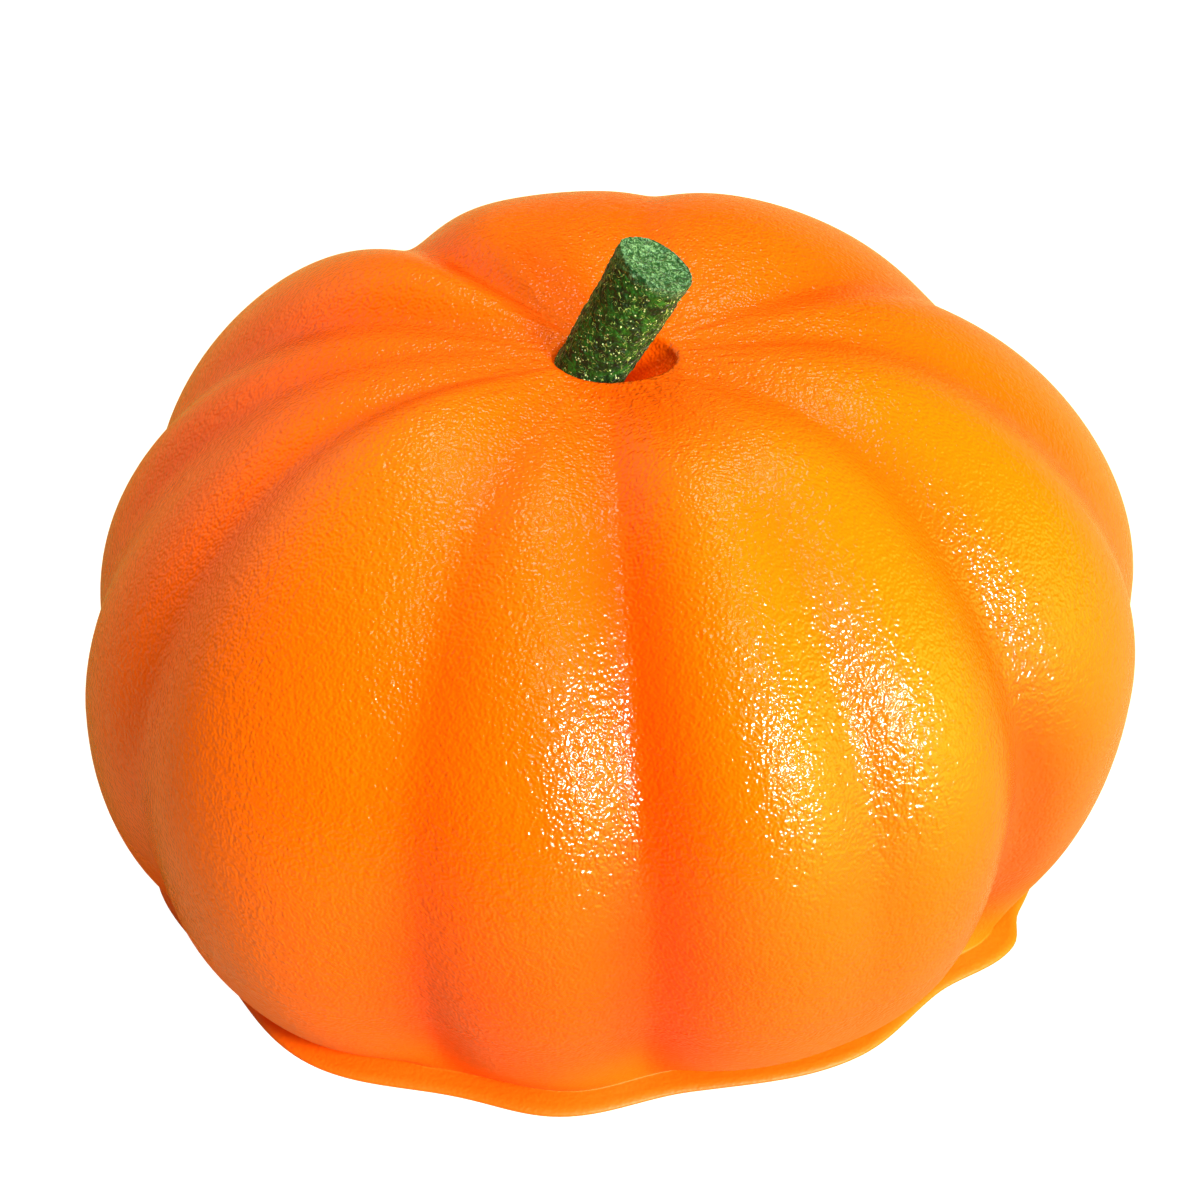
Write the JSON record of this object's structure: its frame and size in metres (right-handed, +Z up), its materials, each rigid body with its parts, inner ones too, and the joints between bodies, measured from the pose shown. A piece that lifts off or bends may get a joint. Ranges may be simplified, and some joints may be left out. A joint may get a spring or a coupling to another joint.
{
  "type": "decorative pumpkin",
  "caption": "Small moulded table-top pumpkin: a solid ribbed orange body with a flat base and a lip round its foot, and a short leaning green stem in a socket at its crown",
  "frame": {"origin": "middle of the flat underside, on the surface that the pumpkin stands on", "axes": "+Z up through the crown, -Y towards the front, +X to the right as seen from the front"},
  "size_m": [0.1082, 0.1068, 0.0693],
  "materials": {
    "orange_skin": "satin, with a fine pebbled grain",
    "green_stem": "matt, granular and fibrous"
  },
  "bodies": {
    "root": {"pumpkin_body": "orange_skin", "stem": "green_stem"}
  },
  "joints": []
}
